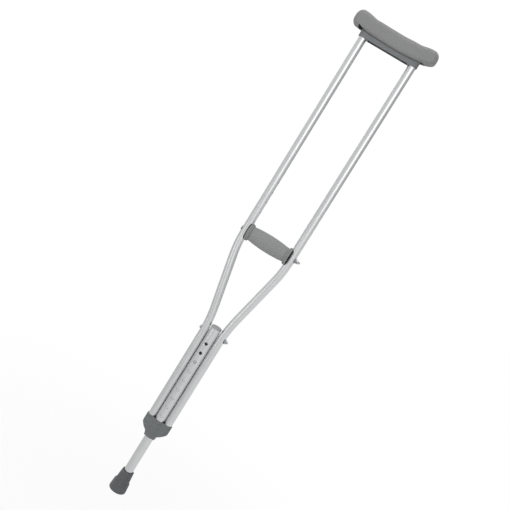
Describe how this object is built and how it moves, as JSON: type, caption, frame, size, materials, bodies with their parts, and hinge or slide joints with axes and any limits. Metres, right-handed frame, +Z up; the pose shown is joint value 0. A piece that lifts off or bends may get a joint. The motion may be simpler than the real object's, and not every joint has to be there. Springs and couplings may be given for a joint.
{
  "type": "underarm crutch",
  "caption": "Aluminium underarm crutch: two bowed uprights, telescoping leg with snap buttons, sliding handgrip, padded crosspiece and rubber tip.",
  "frame": {"origin": "middle of the rubber tip's sole, at the crutch's rest setting", "axes": "+Z up the crutch, +X to its right-hand side where the wing nuts are, -Y to its front"},
  "size_m": [0.2, 0.045, 1.2249],
  "materials": {
    "aluminium_tube": "satin anodised",
    "rivet_aluminium": "satin",
    "cap_plastic": "matte moulded",
    "bracket_plastic": "fine grained moulding",
    "crosspiece_plastic": "fine grained moulding",
    "pad_foam": "skinned foam rubber, matte",
    "core_plastic": "matte",
    "grip_rubber": "foam rubber, matte",
    "zinc_steel": "zinc plated",
    "spring_steel": "oiled spring steel",
    "bush_nylon": "natural nylon",
    "tip_rubber": "matte moulded rubber"
  },
  "bodies": {
    "frame": {"left_upright": "aluminium_tube", "right_upright": "aluminium_tube", "sleeve_tube": "aluminium_tube", "sleeve_cap": "cap_plastic", "base_bracket": "bracket_plastic", "bracket_rivets": "rivet_aluminium", "crosspiece": "crosspiece_plastic", "crosspiece_rivets": "rivet_aluminium", "underarm_pad": "pad_foam", "cross_bolt": "zinc_steel", "cross_bolt_washer": "zinc_steel"},
    "cross_nut": {"cross_bolt_wing_nut": "zinc_steel"},
    "grip": {"handgrip_core": "core_plastic", "handgrip_sleeve": "grip_rubber", "handgrip_bolt": "zinc_steel", "handgrip_washer": "zinc_steel"},
    "grip_nut": {"handgrip_wing_nut": "zinc_steel"},
    "leg": {"leg_tube": "aluminium_tube", "leg_guide_bush": "bush_nylon", "snap_spring": "spring_steel", "rubber_tip": "tip_rubber", "tip_washer": "zinc_steel"},
    "front_button": {"snap_button_front": "zinc_steel"},
    "back_button": {"snap_button_back": "zinc_steel"}
  },
  "joints": [
    {"name": "leg_extend", "type": "slide", "parent": "frame", "child": "leg", "axis": [0, 0, -1], "range_m": [-0.0508, 0.1524], "deforming": ["snap_spring", "snap_button_front", "snap_button_back"]},
    {"name": "handgrip_height", "type": "slide", "parent": "frame", "child": "grip", "axis": [0, 0, 1], "range_m": [0, 0.1524]},
    {"name": "grip_nut_turn", "type": "hinge", "parent": "grip", "child": "grip_nut", "pos_m": [0.08, 0, 0.6888], "axis": [1, 0, 0], "continuous": true},
    {"name": "cross_nut_turn", "type": "hinge", "parent": "frame", "child": "cross_nut", "pos_m": [0.04, 0, 0.4455], "axis": [1, 0, 0], "continuous": true},
    {"name": "front_button_press", "type": "slide", "parent": "leg", "child": "front_button", "axis": [0, 1, 0], "range_m": [0, 0.0031], "stiffness_N_per_m": 2000, "springref_m": -0.001},
    {"name": "back_button_press", "type": "slide", "parent": "leg", "child": "back_button", "axis": [0, -1, 0], "range_m": [0, 0.0031], "stiffness_N_per_m": 2000, "springref_m": -0.001}
  ]
}
